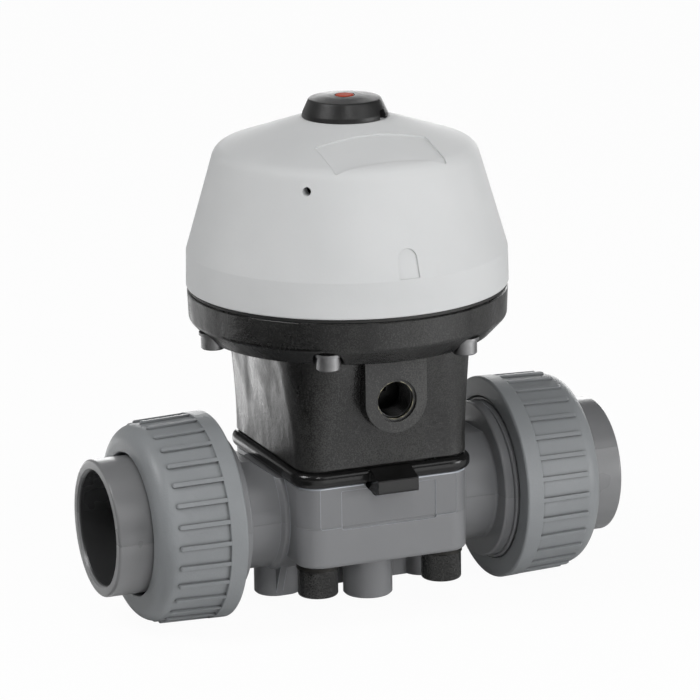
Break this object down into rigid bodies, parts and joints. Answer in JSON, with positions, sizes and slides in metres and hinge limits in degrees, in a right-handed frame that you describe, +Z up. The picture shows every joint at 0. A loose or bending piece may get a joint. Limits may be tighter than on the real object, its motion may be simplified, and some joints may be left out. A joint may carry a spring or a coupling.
{
  "type": "diaphragm valve",
  "caption": "Plastic diaphragm valve with threaded union ends, a round spring-closed pneumatic actuator and a rising position indicator.",
  "frame": {"origin": "middle of the foot plane under the body, where the four threaded inserts open, straight below the crossing of the pipe axis and the actuator axis", "axes": "+X along the pipe, -Y towards the front with the compressed-air port, +Z up along the stem; the pipe axis is 31.8 mm above the origin"},
  "size_m": [0.192, 0.1138, 0.1824],
  "materials": {
    "body_grey": "moulded matte",
    "insert_brass": "turned",
    "diaphragm_rubber": "smooth rubber with a soft sheen",
    "compressor_plastic": "moulded",
    "pin_steel": "ground",
    "base_black": "moulded, lightly grained",
    "bush_bronze": "turned",
    "seal_rubber": "smooth",
    "cover_grey": "moulded matte",
    "actuator_rubber": "fabric rubber",
    "cap_black": "satin",
    "indicator_red": "moulded",
    "spindle_steel": "ground",
    "plate_plastic": "moulded",
    "screw_steel": "plated",
    "spring_steel": "drawn wire",
    "washer_dark": "blackened",
    "bolt_cap_black": "soft satin",
    "end_grey": "moulded, smooth",
    "nut_grey": "moulded, fine grain"
  },
  "bodies": {
    "valve": {"valve_body": "body_grey", "foot_inserts": "insert_brass", "shutoff_diaphragm": "diaphragm_rubber", "actuator_base": "base_black", "base_inserts": "insert_brass", "guide_bush": "bush_bronze", "spindle_seals": "seal_rubber", "actuator_cover": "cover_grey", "cover_inserts": "insert_brass", "actuator_diaphragm": "actuator_rubber", "indicator_cap": "cap_black", "cap_seal": "seal_rubber", "outer_spring": "spring_steel", "inner_spring": "spring_steel", "body_bolts": "screw_steel", "body_washers": "washer_dark", "bolt_caps": "bolt_cap_black", "cover_screws": "screw_steel", "cover_washers": "screw_steel", "union_seal_left": "seal_rubber", "union_seal_right": "seal_rubber"},
    "stem": {"compressor": "compressor_plastic", "compressor_pin": "pin_steel", "spindle": "spindle_steel", "lower_plate": "plate_plastic", "upper_plate": "plate_plastic", "spindle_nut": "screw_steel", "indicator_rod": "indicator_red"},
    "left_end": {"union_end_left": "end_grey"},
    "left_nut": {"union_nut_left": "nut_grey"},
    "right_end": {"union_end_right": "end_grey"},
    "right_nut": {"union_nut_right": "nut_grey"}
  },
  "joints": [
    {"name": "stem_lift", "type": "slide", "parent": "valve", "child": "stem", "axis": [0, 0, 1], "range_m": [0, 0.01], "stiffness_N_per_m": 2500, "springref_m": -0.015, "deforming": ["shutoff_diaphragm", "actuator_diaphragm", "outer_spring", "inner_spring"]},
    {"name": "left_end_slide", "type": "slide", "parent": "valve", "child": "left_end", "axis": [-1, 0, 0], "range_m": [0, 0.0093]},
    {"name": "left_nut_turn", "type": "hinge", "parent": "left_end", "child": "left_nut", "pos_m": [0, 0, 0.0318], "axis": [-1, 0, 0], "range_deg": [0, 1440]},
    {"name": "right_end_slide", "type": "slide", "parent": "valve", "child": "right_end", "axis": [1, 0, 0], "range_m": [0, 0.0093]},
    {"name": "right_nut_turn", "type": "hinge", "parent": "right_end", "child": "right_nut", "pos_m": [0, 0, 0.0318], "axis": [1, 0, 0], "range_deg": [0, 1440]}
  ],
  "couplings": [
    {"joint": "left_end_slide", "follows": "left_nut_turn", "m_per_rad": 0.0003675},
    {"joint": "right_end_slide", "follows": "right_nut_turn", "m_per_rad": 0.0003675}
  ]
}
